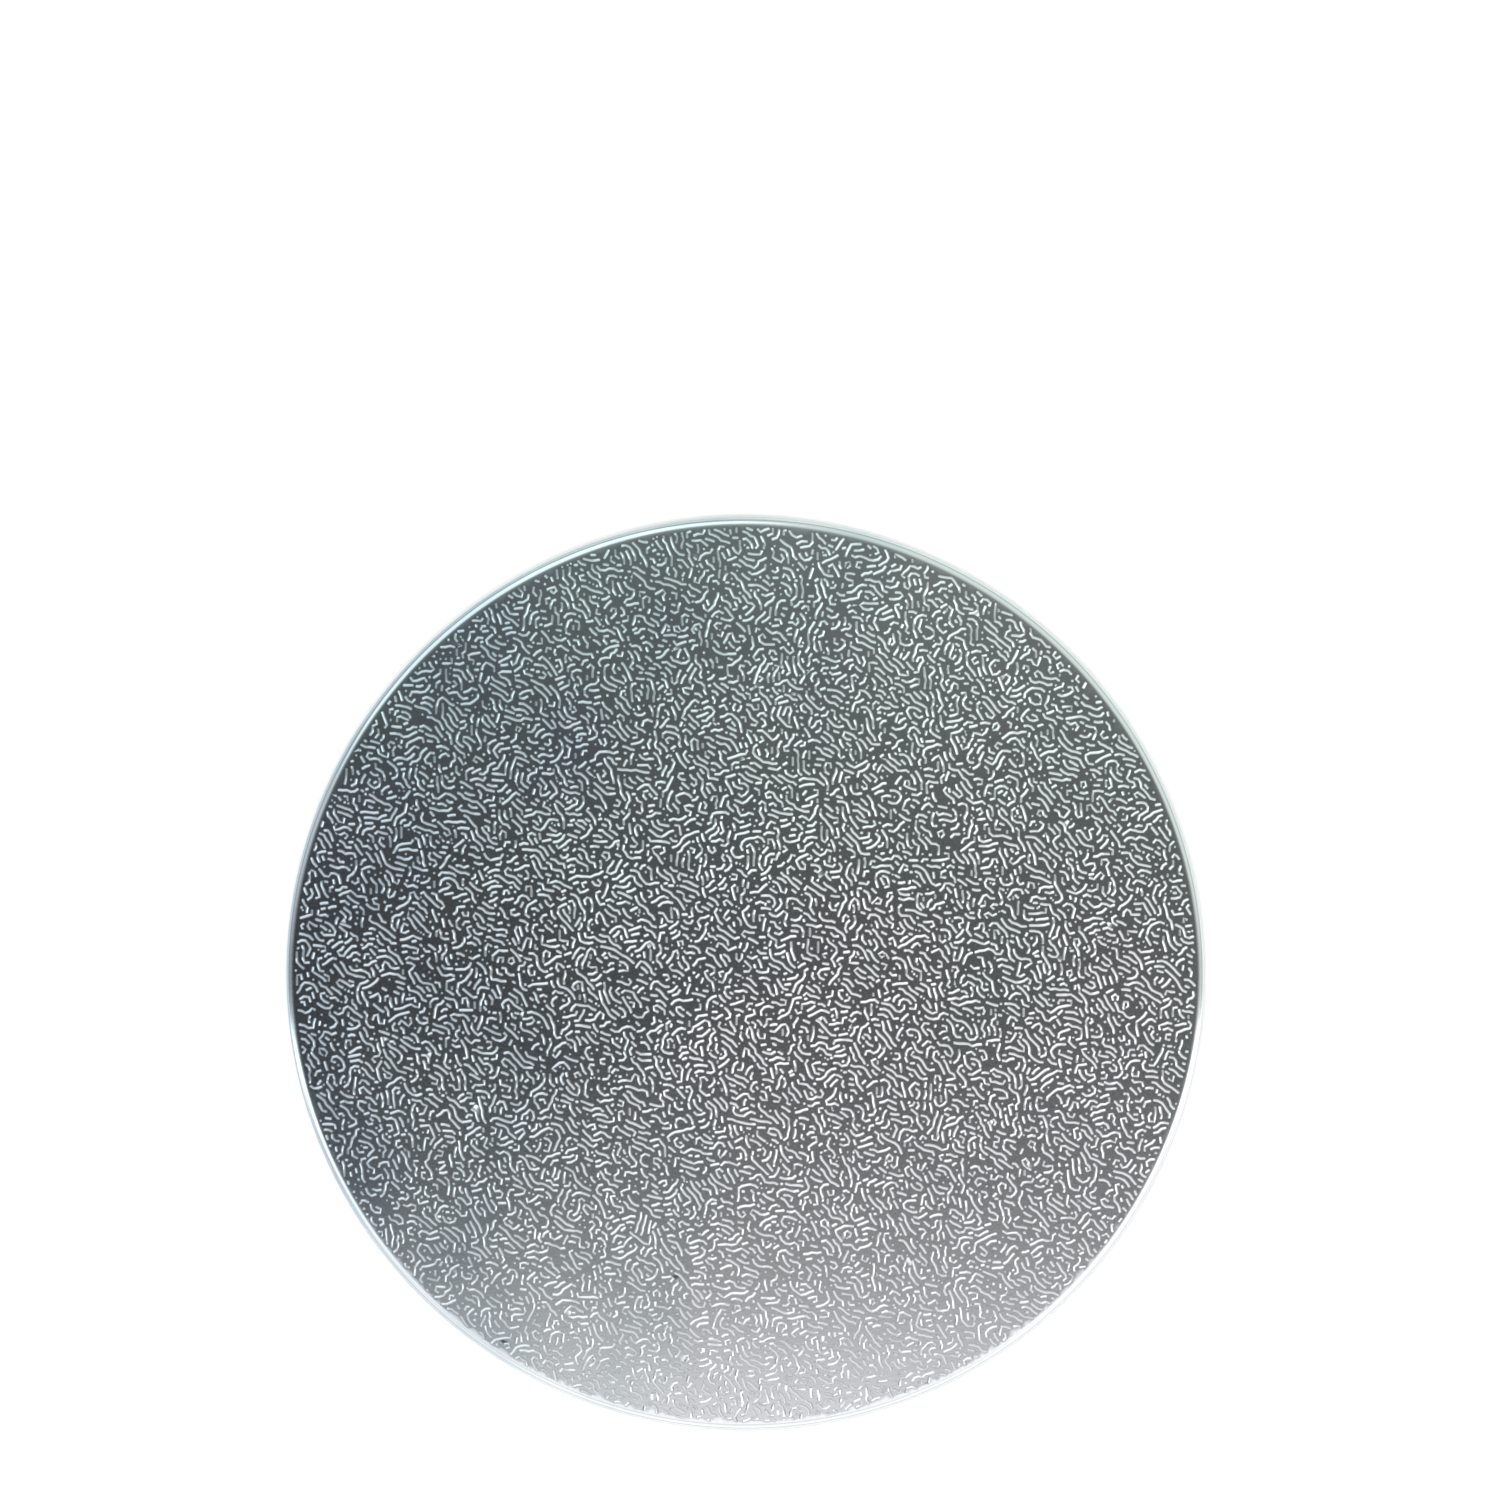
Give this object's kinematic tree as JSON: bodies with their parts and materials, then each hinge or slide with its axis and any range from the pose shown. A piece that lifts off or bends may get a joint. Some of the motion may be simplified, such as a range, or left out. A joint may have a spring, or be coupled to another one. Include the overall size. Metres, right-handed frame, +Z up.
{
  "type": "cake board",
  "caption": "Thin round cake board of greyboard wrapped in silver foil paper, with a squiggle emboss, a soft rolled edge and a tucked hem under a lining disc.",
  "frame": {"origin": "centre of the underside, on the surface that the board lies on", "axes": "+Z up through the board's thickness, out of the embossed face; the board is round, so +X and +Y are free"},
  "size_m": [0.203, 0.203, 0.0033],
  "materials": {
    "embossed_foil_paper": "satin",
    "lining_paper": "matte"
  },
  "bodies": {
    "root": {"cake_board": "embossed_foil_paper"}
  },
  "joints": []
}
